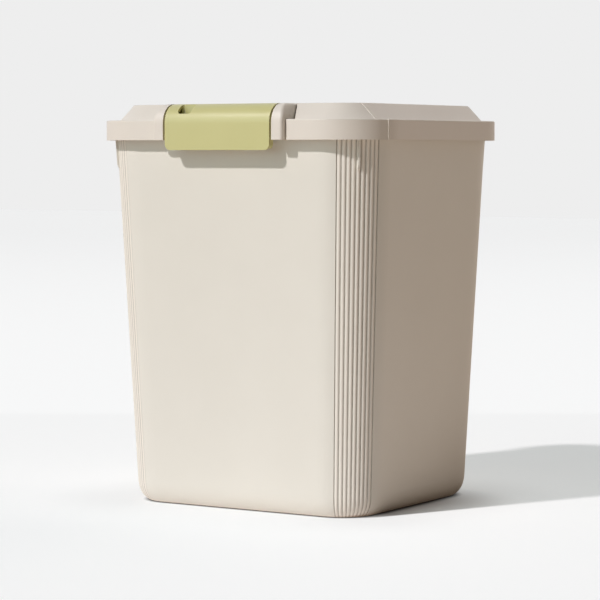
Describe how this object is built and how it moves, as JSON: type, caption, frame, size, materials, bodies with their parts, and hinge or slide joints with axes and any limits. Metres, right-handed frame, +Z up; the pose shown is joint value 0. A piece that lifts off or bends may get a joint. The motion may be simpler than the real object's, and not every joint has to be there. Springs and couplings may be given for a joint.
{
  "type": "dry food storage box",
  "caption": "Tall tapered storage box for dry pet food, with fluted corners, a rear-hinged lid with a seal, and a front lever latch.",
  "frame": {"origin": "centre of the tub's flat resting face, on the floor", "axes": "+Z up, -Y towards the front with the latch, +X to the right as seen from the front"},
  "size_m": [0.3014, 0.2916, 0.3645],
  "materials": {
    "cream_plastic": "satin moulded polypropylene, warm off-white",
    "green_plastic": "satin moulded plastic, olive green",
    "seal_rubber": "soft grey silicone",
    "pin_steel": "plain drawn steel"
  },
  "bodies": {
    "tub": {"tub": "cream_plastic", "hinge_pin_left": "pin_steel", "hinge_pin_right": "pin_steel"},
    "lid": {"lid": "cream_plastic", "lid_seal": "seal_rubber", "latch_bracket": "cream_plastic", "latch_pin": "pin_steel"},
    "latch": {"latch": "green_plastic"}
  },
  "joints": [
    {"name": "lid_hinge", "type": "hinge", "parent": "tub", "child": "lid", "pos_m": [0, 0.143, 0.327], "axis": [-1, 0, 0], "range_deg": [0, 105]},
    {"name": "latch_hinge", "type": "hinge", "parent": "lid", "child": "latch", "pos_m": [0, -0.1264, 0.358], "axis": [-1, 0, 0], "range_deg": [0, 80]}
  ]
}
